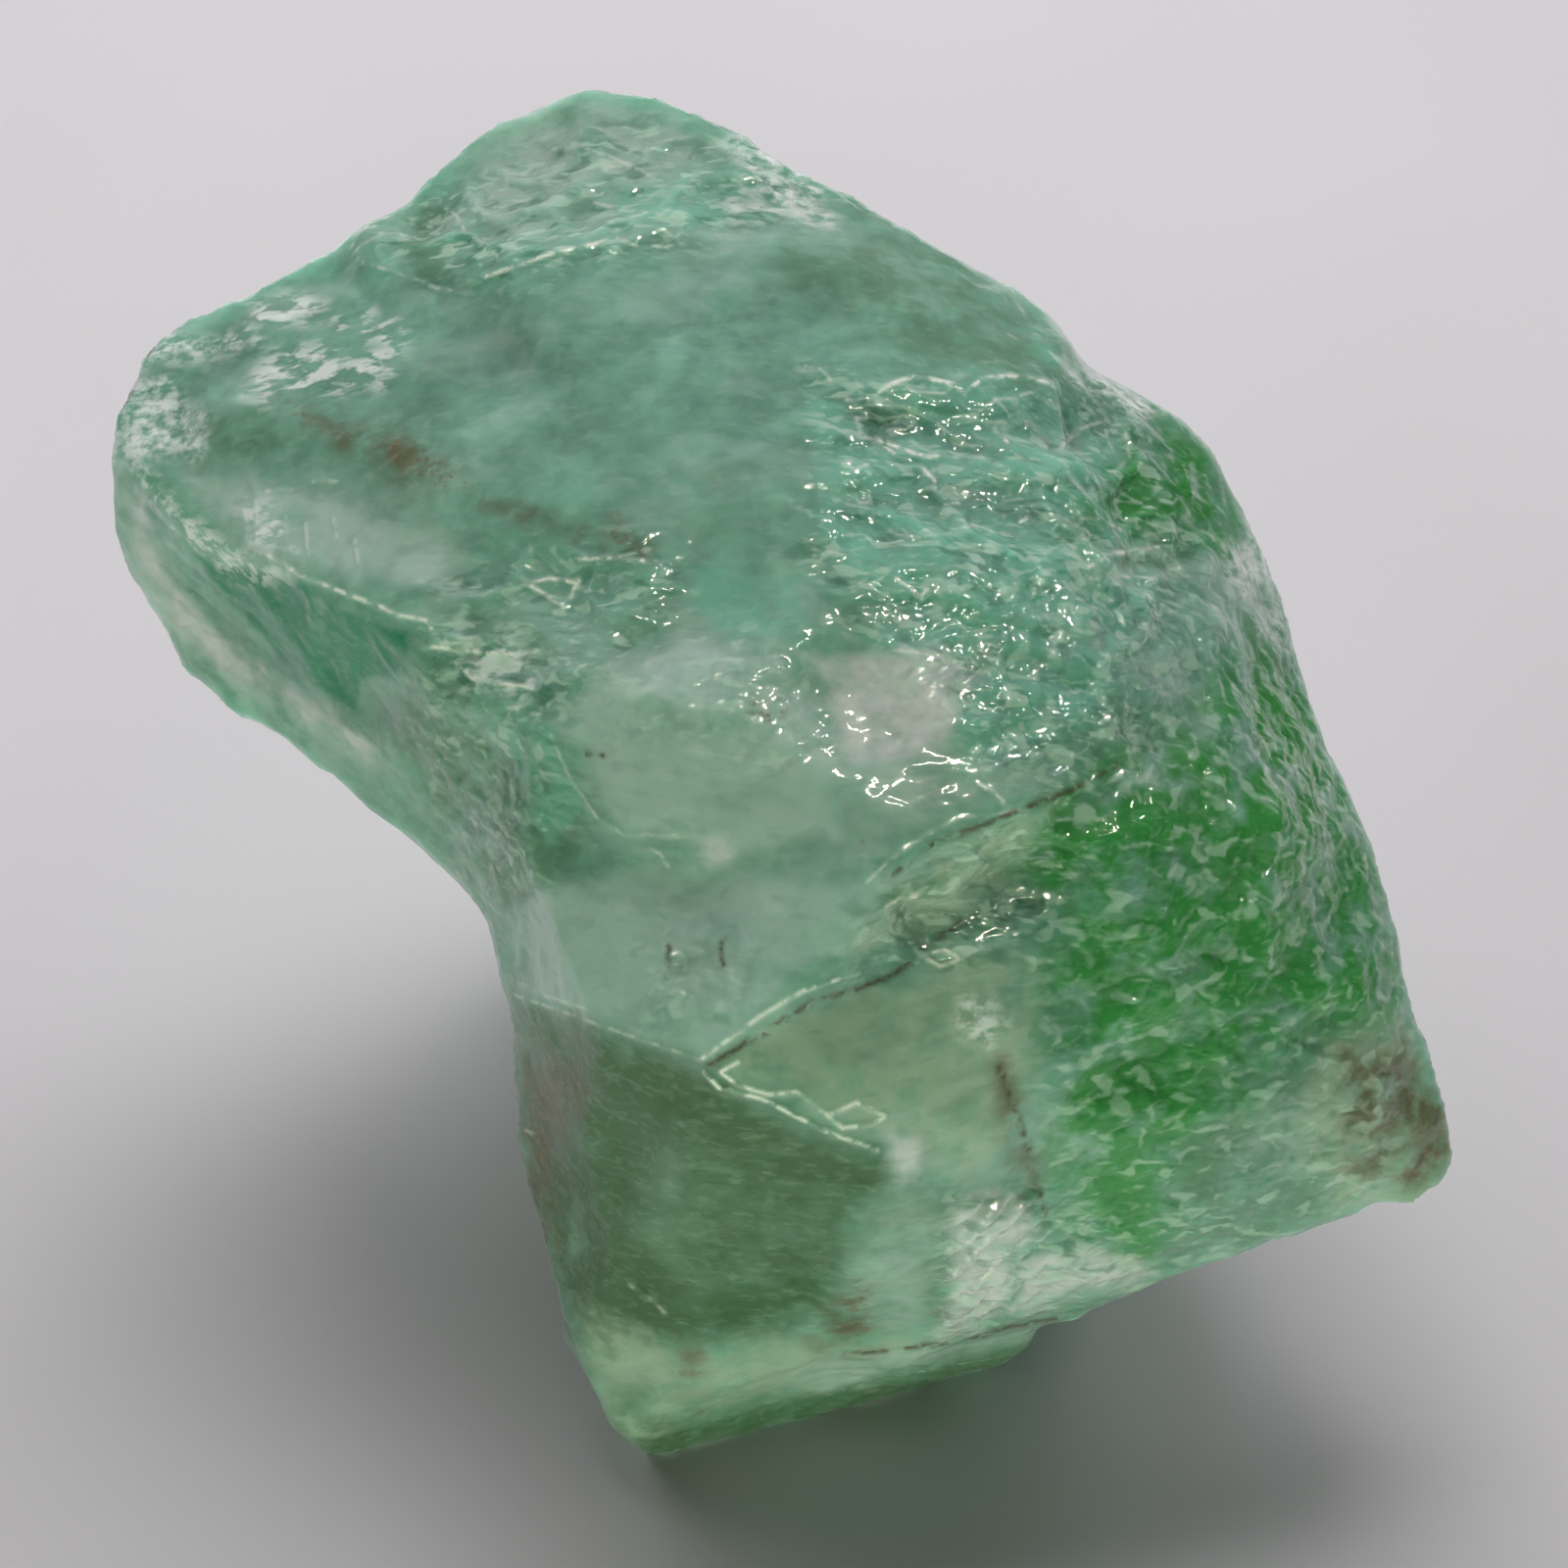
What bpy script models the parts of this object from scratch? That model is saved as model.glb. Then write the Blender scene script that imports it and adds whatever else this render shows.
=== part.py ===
"""Rough green calcite: one broken, worn chunk of stone, about 62 x 48 x 45 mm.

The stone is laid out on a work plane that rises towards its back.
Points are in millimetres: across it (x), up along it (u) and out of it (o).
The outline divides the stone in two: a front shell with the broad worn top,
the corner and the pebbly right side, and a back shell with the foot.
"""
import math

import bmesh
import bpy
from mathutils import Vector, noise
from mathutils.geometry import delaunay_2d_cdt

MM = 0.001
NAME = "calcite_stone"

# Work plane
PLANE_RISE = math.radians(38.0)
PLANE_HEIGHT = 26.0

# Making of the surface, in millimetres
GRAIN = 0.42
ROUNDING_PASSES = 3
ROUNDING_LOSS = 0.12
FOOT_TRIM = 0.3
FOOT_CALM = 3.0
SNAP = 0.03
TRIANGLES = 9600

# Relief: size of each wave and its height, in millimetres
SWELL = (9.0, 0.4)
LUMP = (3.6, 0.24)
PEBBLE = (2.0, 0.26)
KNOCK = (11.0, 0.9)

# Broken back: the ways its cleavage steps face, their pitch, riser and height, in millimetres
STEP_WAYS = (Vector((0.35, 0.25, 0.9)), Vector((-0.8, 0.35, 0.5)))
STEP_PITCH = 6.5
STEP_RISER = 1.6
STEP_HEIGHT = 1.1

# Outline, clockwise from the crown: across, up, out
OUTLINE_CROWN = [
    (-9.1, 32.8, -2), (-5.5, 32, -2), (-2, 30.2, -1), (1.8, 27.4, 0), (7.2, 24.2, 0),
    (10.8, 22.6, 0), (12.7, 21.1, 0), (13.8, 19.2, 0.5),
]
OUTLINE_RIGHT = [
    (16.2, 18.1, 0.5), (19.1, 15.8, 0), (21.6, 12.2, 0), (22.8, 8.5, 0), (24.6, 3.1, 1),
    (26.6, -2.2, 1.5), (28.1, -8.3, 1.5), (29.6, -12.7, 1.5), (30.8, -15.7, 1), (30.9, -17.8, 0),
    (29.1, -19.2, -0.5), (22.7, -21.1, -1.5), (16, -23.9, -3), (12.4, -25.2, -4), (11.1, -27.2, -8),
]
OUTLINE_LEFT_WALL = [
    (-8.4, -30.3, -5), (-9.4, -27.7, -4.5), (-11, -22, -3.5), (-12.1, -17.4, -2.5),
    (-12.5, -13.1, -1), (-12.2, -9.7, 3),
]
OUTLINE_LOBE = [
    (-13.3, -6.4, 3), (-15.3, -4, 2), (-17.3, -2.2, 1), (-20, -0.4, 0), (-22.7, 1.4, -1),
    (-25.4, 3.2, -2), (-27.7, 5, -3), (-29.8, 8.7, -3), (-31.1, 12.3, -2), (-31, 15.1, 0),
    (-30.7, 17.8, 0), (-30, 19.8, -1), (-28.4, 21.5, -2), (-24.5, 23.2, -2), (-20.9, 25, -2),
    (-18.3, 27.2, -3), (-16.5, 28.9, -3), (-14.2, 30.8, -3), (-11.2, 32.8, -3),
]

# Front edge of the foot, across and up, and the rest of its rim, standing: x, y
FOOT_FRONT = [(9.6, -28.7), (2.4, -30.5), (-6.6, -32.5)]
FOOT_BACK = [(12.5, -9), (15.5, 0), (13, 11), (4, 17), (-6, 15), (-10.5, 7), (-9.8, -6), (-8, -15)]

# Edges that the worn front keeps: across, up, out
CORNER = (-3, -11.5, 13.5)
SILL = (12.4, -25.2, -4)
NOTCH = (-12.2, -9.7, 4)
FRONT_RIDGES = {
    "left corner": [CORNER, (-7.5, -10.8, 10.8), NOTCH],
    "upper lip": [CORNER, (-0.5, -9.5, 13.8), (2.3, -7.3, 14), (4, -4, 14.8), (6, -2.5, 14.8),
                  (9, -1, 14.3), (12, 0, 13), (14, 1, 11.8)],
    "lower lip": [(-0.2, -10.4, 12.6), (3.2, -8.4, 12), (5.5, -6.3, 12), (8.5, -4.2, 12),
                  (11.5, -2.5, 11.8)],
    "right corner": [CORNER, (-0.5, -13.8, 11.8), (2, -15, 10.6), (4, -16, 9.6), (7, -17.3, 7.8),
                     (7.5, -20.5, 4.6), (8, -23, 1.6), (7.5, -25.5, -2)],
    "brown seam": [(10, -7.5, 11.3), (11, -13, 9), (11.5, -19.5, 4)],
    "lower edge": [(-8.4, -30.3, -5), (-7.3, -30, -4), (-4.5, -28.5, -3.5), (-2, -27.5, -3),
                   (2.5, -26, -2), (7.5, -25.5, -2), (10, -25.3, -2.5), SILL],
    "lobe ridge": [(-31, 15.1, 0), (-29, 14, 2), (-26.5, 11.5, 3.5), (-23, 10, 6),
                   (-20, 8.5, 7.5), (-17.5, 7.5, 9), (-15, 7, 10)],
    "lobe hollow": [(-28.5, 12.5, 1.5), (-26.5, 9.5, 1), (-24, 6.5, 1), (-21.5, 4, 2),
                    (-20, 2.5, 2.5)],
    "knob foot": [(-19.5, 25.5, -0.5), (-15.5, 24.5, 1.5), (-12, 23.5, 4), (-8, 24.5, 4),
                  (-5, 24.5, 4), (-1.5, 24, 4)],
    "shoulder lip": [(2.5, 17, 9), (6, 17, 8.5), (8.5, 17.5, 7.5), (12.5, 18.7, 4),
                     (13.8, 19.2, 0.5)],
    "boss rim": [(-10, 2, 12), (-8.5, 0, 12), (-6.5, -2, 12.5), (-4, -2.5, 13), (1, -2.5, 14)],
}

# Single points that the front passes through: across, up, out
FRONT_SPOTS = {
    "knob": [(-9, 29, 0), (-13.5, 27.5, -0.5), (-5.5, 28.5, 0.5)],
    "crown face": [(-4.5, 20.5, 6.5), (2, 20, 6), (-8.5, 17, 8.5), (-1.5, 14, 11), (-13, 19, 5),
                   (-17.5, 21, 2.5), (-23.5, 20, 0.5), (-27, 18, 0.5)],
    "shoulder": [(4.5, 22.5, 4), (9, 20.5, 4)],
    "pitted face": [(4, 13.5, 10.5), (8.5, 13, 10), (13, 14, 7.5), (16.5, 14.5, 4)],
    "right brow": [(3.5, 8.5, 13), (8.5, 8.5, 12.5), (12.5, 9, 10.5), (17.5, 8.5, 6.5),
                   (19.5, 4.5, 7), (14.5, 4, 11), (6, 4, 14)],
    "stained crease": [(-24.5, 17, 3), (-18.5, 15, 6), (-15, 13.5, 8.5), (-10, 12, 10.5),
                       (-6, 9.5, 12)],
    "lobe face": [(-24, 13.5, 4), (-17, 10.5, 8.5), (-12, 8, 10.5)],
    "window": [(-3.5, 7.5, 12.5)],
    "boss": [(-6.5, 4, 14), (-2.5, 3.5, 15), (1, 1.5, 14.5)],
    "chin": [(-9.8, -1.8, 10.4), (-6.9, -3.8, 11.1), (-3.6, -4.4, 11.8), (-10, -5.5, 9.6),
             (-6.5, -7, 11.6), (-1.5, -6.5, 13), (2, -5.2, 14), (-9, -8.8, 9.9), (-4, -10, 13)],
    "neck": [(-15.5, 4.5, 9.5), (-14, 0, 7), (-11.5, -2, 9.5), (-16, -1, 4), (-17.5, 1, 4),
             (-18.5, 4, 5)],
    "left wall": [(-8.5, -15.5, 5.6), (-4.5, -17.5, 7.2), (0, -19.5, 5.8), (3, -21.5, 4.3),
                  (-8, -22.5, 0.9), (-3.5, -24, 1), (2, -24, 0.4)],
    "wedge": [(6.5, -10.5, 11.3), (4, -13, 11.1), (8.5, -15, 9)],
    "cleaved corner": [(9.5, -20, 4.9), (11, -22.5, 1.3)],
    "right face": [(14.5, -3.5, 12), (12.5, -6.5, 11), (17, -8.5, 9.5), (21.5, -2, 8.5),
                   (21.5, -8.5, 7.5), (25.5, -9, 4.5), (15, -15, 7), (22, -14.5, 5),
                   (26.5, -14.5, 3.5), (15.5, -20.5, 2), (20, -18.5, 2.5), (24.5, -18, 2),
                   (28, -17, 1.5)],
}

# Edges and points of the back, with the stone standing: x, y, z
BACK_RIDGES = {
    "back corner": [(-6, 25.5, 33), (-3, 23.5, 17), (-6, 15, 0)],
    "right corner": [(14, 19, 25), (14.5, 15, 12), (13, 11, 0)],
    "lobe keel": [(-24, 16.5, 31), (-17, 21, 30), (-6, 25.5, 33)],
    "tip keel": [(25, -8, 16), (19, -4, 10), (15.5, 0, 0)],
}
BACK_SPOTS = {
    "lobe underside": [(-22, 10, 25), (-16, 4, 22), (-13.5, 8, 14), (-13.5, 0, 19)],
    "left wall": [(-11, 0, 10), (-12, 16, 14)],
    "back": [(5, 23, 29), (5, 21, 13), (19, 12, 26), (22, 2, 20), (19, 5, 11)],
    "tip underside": [(20, -13, 9), (28.3, -10, 14.5)],
}

# Cleavage steps: middle of the patch, reach, pitch and height, in millimetres
CLEAVAGE = {
    "cleaved corner": ((9.8, -21.5, 2.5), 3.2, 1.3, 0.3),
    "lobe hollow": ((-24.5, 4.5, 0.5), 6.0, 1.5, 0.22),
    "neck": ((-15.0, 0.5, 6.0), 4.0, 1.6, 0.2),
}

# Dents left by acid and knocks: middle of each, reach and depth
DENTS = [
    ((4.5, 15.3, 9.6), 2.1, 0.7), ((7.6, 15.2, 9.2), 1.9, 0.75), ((6.2, 12.4, 11.0), 2.0, 0.6),
    ((9.3, 12.0, 10.9), 2.2, 0.65), ((10.8, 15.6, 7.8), 1.8, 0.6), ((3.4, 11.5, 11.8), 1.7, 0.5),
    ((13.4, 16.0, 6.2), 1.7, 0.6), ((15.3, 12.6, 6.5), 2.2, 0.5), ((16.8, 9.6, 7.0), 2.3, 0.5),
    ((-16.8, 26.2, 0.0), 1.8, 0.6), ((-13.6, 25.0, 1.8), 1.5, 0.5), ((-9.8, 25.5, 3.0), 1.7, 0.6),
    ((-11.6, 4.8, 11.8), 1.9, 0.6), ((-9.0, 7.6, 11.6), 1.5, 0.5), ((-6.2, 5.6, 12.6), 1.4, 0.4),
    ((3.0, 3.0, 14.3), 2.6, 0.6), ((5.8, -6.0, 12.4), 1.3, 0.5), ((9.6, -4.2, 12.3), 1.6, 0.5),
    ((16.0, -12.0, 8.5), 2.0, 0.45), ((19.0, -3.0, 10.0), 2.4, 0.45), ((24.0, -12.0, 5.5), 2.0, 0.4),
]


def place(across, up, out):
    """Work plane to standing stone, in millimetres."""
    y = up * math.cos(PLANE_RISE) - out * math.sin(PLANE_RISE)
    z = PLANE_HEIGHT + up * math.sin(PLANE_RISE) + out * math.cos(PLANE_RISE)
    return Vector((across, y, z))


def lay(x, y, z):
    """Standing stone to work plane, in millimetres."""
    rise = z - PLANE_HEIGHT
    up = y * math.cos(PLANE_RISE) + rise * math.sin(PLANE_RISE)
    out = rise * math.cos(PLANE_RISE) - y * math.sin(PLANE_RISE)
    return (x, up, out)


def on_ground(across, up):
    """The point of the work plane's line of sight that lies on the ground."""
    out = (-PLANE_HEIGHT - up * math.sin(PLANE_RISE)) / math.cos(PLANE_RISE)
    return (across, up, out)


def shell(outline, ridges, spots):
    """Triangles between the outline, the ridges and the spots, on the work plane."""
    points = []
    index = {}
    edges = []

    def add(point):
        key = (round(point[0], 2), round(point[1], 2))
        if key not in index:
            index[key] = len(points)
            points.append(point)
        return index[key]

    loop = [add(point) for point in outline]
    for ridge in ridges:
        run = [add(point) for point in ridge]
        edges.extend(zip(run, run[1:]))
    for spot in spots:
        add(spot)
    flat = [Vector(point[:2]) for point in points]
    inside_only = 1
    made = delaunay_2d_cdt(flat, edges, [loop], inside_only, 1e-5)
    faces, sources = made[2], made[3]
    if any(not source for source in sources):
        raise ValueError("two ridges cross")
    solid = [points[source[0]] for source in sources]
    return [[solid[i] for i in face] for face in faces]


def blocked_out():
    """The stone with flat faces and sharp edges, as one closed mesh."""
    foot_front = [on_ground(*point) for point in FOOT_FRONT]
    foot_back = [lay(x, y, 0.0) for x, y in FOOT_BACK]
    outline = OUTLINE_CROWN + OUTLINE_RIGHT + foot_front + OUTLINE_LEFT_WALL + OUTLINE_LOBE
    front_spots = [spot for group in FRONT_SPOTS.values() for spot in group]
    front = shell(outline, FRONT_RIDGES.values(), front_spots)
    back_ridges = [[lay(*point) for point in ridge] for ridge in BACK_RIDGES.values()]
    back_ridges.append([foot_front[0]] + foot_back + [foot_front[-1]])
    back_spots = [lay(*spot) for group in BACK_SPOTS.values() for spot in group]
    back = shell(outline, back_ridges, back_spots)

    bm = bmesh.new()
    for faces in (front, back):
        for face in faces:
            bm.faces.new([bm.verts.new(place(*point) * MM) for point in face])
    bmesh.ops.remove_doubles(bm, verts=bm.verts, dist=0.02 * MM)
    bmesh.ops.recalc_face_normals(bm, faces=bm.faces)
    mesh = bpy.data.meshes.new(NAME)
    bm.to_mesh(mesh)
    bm.free()
    return mesh


def with_modifier(mesh, kind, **settings):
    """The mesh after one modifier."""
    helper = bpy.data.objects.new("helper", mesh)
    bpy.context.collection.objects.link(helper)
    modifier = helper.modifiers.new(kind, kind)
    for name, value in settings.items():
        setattr(modifier, name, value)
    graph = bpy.context.evaluated_depsgraph_get()
    result = bpy.data.meshes.new_from_object(helper.evaluated_get(graph))
    bpy.data.objects.remove(helper)
    return result


def wave(point, scale):
    """Smooth noise from -1 to 1 whose lumps are about scale across."""
    return noise.noise(point / scale)


def ramp(value, low, high):
    """0 below low, 1 above high and smooth between them."""
    t = min(1.0, max(0.0, (value - low) / (high - low)))
    return t * t * (3.0 - 2.0 * t)


def fade(distance, reach):
    """1 in the middle of a patch and 0 at its reach."""
    return ramp(reach - distance, 0.0, reach)


def cleavage_steps(point):
    """Parallel steps in patches, as where the crystal split."""
    height = 0.0
    riser = STEP_RISER / STEP_PITCH
    for number, way in enumerate(STEP_WAYS):
        shifted = point + Vector((17.0 * number, 3.0, 29.0))
        along = point.dot(way) / STEP_PITCH + 0.25 * wave(shifted, 9.0)
        part = along - math.floor(along)
        tread = min(part / (1.0 - riser), (1.0 - part) / riser) - 0.5
        height += STEP_HEIGHT * tread * ramp(wave(shifted, 13.0), -0.1, 0.2)
    return height


def relief(point, laid, facing):
    """How far the surface stands out of the blocked-out stone, in millimetres."""
    backside = ramp(-facing, 0.0, 0.35) * ramp(-laid[2], 1.0, 4.0)
    rough_right = ramp(point.x, 8.0, 13.0) * (1.0 - backside)
    height = SWELL[1] * wave(point, SWELL[0])
    height += LUMP[1] * wave(point + Vector((31.0, 7.0, 3.0)), LUMP[0])
    height += PEBBLE[1] * rough_right * wave(point + Vector((5.0, 17.0, 9.0)), PEBBLE[0])
    height += KNOCK[1] * backside * wave(point + Vector((3.0, 41.0, 11.0)), KNOCK[0])
    height += backside * cleavage_steps(point)
    for middle, reach, pitch, step in CLEAVAGE.values():
        away = (Vector(laid) - Vector(middle)).length
        along = (0.8 * laid[0] + 0.6 * laid[1]) / pitch
        saw = along - math.floor(along) - 0.5
        height += step * saw * fade(away, 1.6 * reach)
    for middle, reach, depth in DENTS:
        away = (Vector(laid) - Vector(middle)).length
        height -= depth * fade(away, 1.5 * reach)
    return height


def carve(mesh):
    """Rounds the edges, adds the relief and flattens the foot."""
    bm = bmesh.new()
    bm.from_mesh(mesh)
    for _ in range(ROUNDING_PASSES):
        bmesh.ops.smooth_vert(bm, verts=bm.verts, factor=0.5, use_axis_x=True, use_axis_y=True,
                              use_axis_z=True)
    bm.normal_update()
    out_way = place(0, 0, 1) - place(0, 0, 0)
    moves = []
    for vert in bm.verts:
        point = vert.co / MM
        calm = ramp(point.z, 0.0, FOOT_CALM)
        height = ROUNDING_LOSS + relief(point, lay(*point), vert.normal.dot(out_way))
        moves.append(vert.normal * height * calm * MM)
    for vert, move in zip(bm.verts, moves):
        vert.co += move
        if vert.co.z < FOOT_TRIM * MM:
            vert.co.z = 0.0
    bmesh.ops.triangulate(bm, faces=bm.faces)
    bm.to_mesh(mesh)
    bm.free()


def settle(mesh):
    """Flattens the foot for good and puts the middle of the stone's box over the origin."""
    bm = bmesh.new()
    bm.from_mesh(mesh)
    for vert in bm.verts:
        if vert.co.z < SNAP * MM:
            vert.co.z = 0.0
    xs = [vert.co.x for vert in bm.verts]
    ys = [vert.co.y for vert in bm.verts]
    middle = Vector((0.5 * (min(xs) + max(xs)), 0.5 * (min(ys) + max(ys)), 0.0))
    bmesh.ops.translate(bm, verts=bm.verts, vec=-middle)
    bm.to_mesh(mesh)
    bm.free()


def green_calcite():
    """Translucent green stone with a waxy gloss."""
    material = bpy.data.materials.new("green calcite")
    material.use_nodes = True
    shader = material.node_tree.nodes["Principled BSDF"]
    shader.inputs["Base Color"].default_value = (0.16, 0.38, 0.26, 1.0)
    shader.inputs["Roughness"].default_value = 0.25
    shader.inputs["IOR"].default_value = 1.58
    shader.inputs["Subsurface Weight"].default_value = 0.6
    shader.inputs["Subsurface Scale"].default_value = 3.0 * MM
    return material


def main():
    for old in list(bpy.data.objects):
        bpy.data.objects.remove(old)
    mesh = blocked_out()
    mesh = with_modifier(mesh, "REMESH", mode="VOXEL", voxel_size=GRAIN * MM)
    carve(mesh)
    share = TRIANGLES / len(mesh.polygons)
    mesh = with_modifier(mesh, "DECIMATE", ratio=share)
    settle(mesh)
    mesh.name = NAME
    mesh.shade_smooth()
    mesh.set_sharp_from_angle(angle=math.radians(32.0))
    mesh.materials.clear()
    mesh.materials.append(green_calcite())
    stone = bpy.data.objects.new(NAME, mesh)
    bpy.context.collection.objects.link(stone)


main()
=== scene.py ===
"""A rough chunk of green calcite, acid-washed to a wet gloss, on a pale floor."""

import math

import bmesh
import bpy
import numpy as np
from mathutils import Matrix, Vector, noise


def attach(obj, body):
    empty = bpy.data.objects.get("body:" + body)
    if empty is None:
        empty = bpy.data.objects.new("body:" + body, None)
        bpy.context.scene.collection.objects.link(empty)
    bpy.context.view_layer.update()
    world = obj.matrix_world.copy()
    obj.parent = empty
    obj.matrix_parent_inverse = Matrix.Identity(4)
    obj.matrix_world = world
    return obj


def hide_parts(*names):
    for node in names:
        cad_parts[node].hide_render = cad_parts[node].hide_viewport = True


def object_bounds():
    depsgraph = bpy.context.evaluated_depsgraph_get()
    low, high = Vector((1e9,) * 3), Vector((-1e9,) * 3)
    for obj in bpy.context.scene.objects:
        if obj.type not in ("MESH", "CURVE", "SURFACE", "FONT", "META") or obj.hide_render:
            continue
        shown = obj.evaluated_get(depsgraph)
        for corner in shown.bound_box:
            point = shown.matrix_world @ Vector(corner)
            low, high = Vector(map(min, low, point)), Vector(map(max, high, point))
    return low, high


bl_info = {
    "name": "Rough green calcite",
    "version": (1, 0, 0),
    "blender": (4, 5, 0),
    "location": "3D View > Sidebar > Calcite",
    "description": "Builds a rough chunk of green calcite with a glossy etched surface",
    "category": "Object",
}

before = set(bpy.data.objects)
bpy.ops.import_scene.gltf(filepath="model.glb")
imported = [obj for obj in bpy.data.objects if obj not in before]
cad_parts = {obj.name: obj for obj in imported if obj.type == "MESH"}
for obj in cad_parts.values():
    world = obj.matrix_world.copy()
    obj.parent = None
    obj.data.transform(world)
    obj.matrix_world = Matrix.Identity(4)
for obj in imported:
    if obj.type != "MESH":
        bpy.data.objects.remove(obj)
CAD_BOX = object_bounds()

MM = 0.001
LONG_WAY = np.array((0.6, 1.0, 1.0))  # the etched marks are longer across than up
FOOT_HEIGHT = 0.3  # below this the stone is its flat foot and stays as it is, in mm
CREST_WIDTH = 0.12  # half the width of a crest's form, in mm
GLINT_PAINT_WIDTH = 0.085  # half the width of its white line of painted glint, in mm
SEAM_WIDTH = 0.13  # half the width of a dark hairline, in mm
CREST_REACH = 0.4  # how far beside a crest the mesh is split finer, in mm

# Tones that belong to one mark each
MILKY_FLECK = "#C6E0CB"
DARK_FLECK = "#4E8068"
CLEAVED_WHITE = "#DEDDDC"
# White of the painted glints along the crests
GLINT_WHITE = "#F2F6E6"
# Dark of the hairlines, and of the painted shade in the creases
SEAM_AND_CREASE_SHADE = "#5A5742"
CARD_LIGHT = "#E2E1E4"

# The camera that the photo was taken with, as near as the stone's outline tells it
AIM = Vector((0.235, -2.783, 26.0))  # the point in the middle of the photo, in mm
RISE = math.radians(52.0)  # how far above the horizon the camera stands
REACH = 170.0  # from the camera to the aim, in mm
PHOTO_WIDE = 72.0  # how many mm of the aim's own plane the photo is wide
PHOTO_PIXELS = 1600
PIXEL = PHOTO_WIDE / PHOTO_PIXELS
UP_WAY = Vector((0.0, math.sin(RISE), math.cos(RISE)))
SKY_WAY = Vector((0.0, 0.5, 0.87))  # towards the brightest part of the sky
OUT_WAY = Vector((0.0, -math.cos(RISE), math.sin(RISE)))

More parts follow.
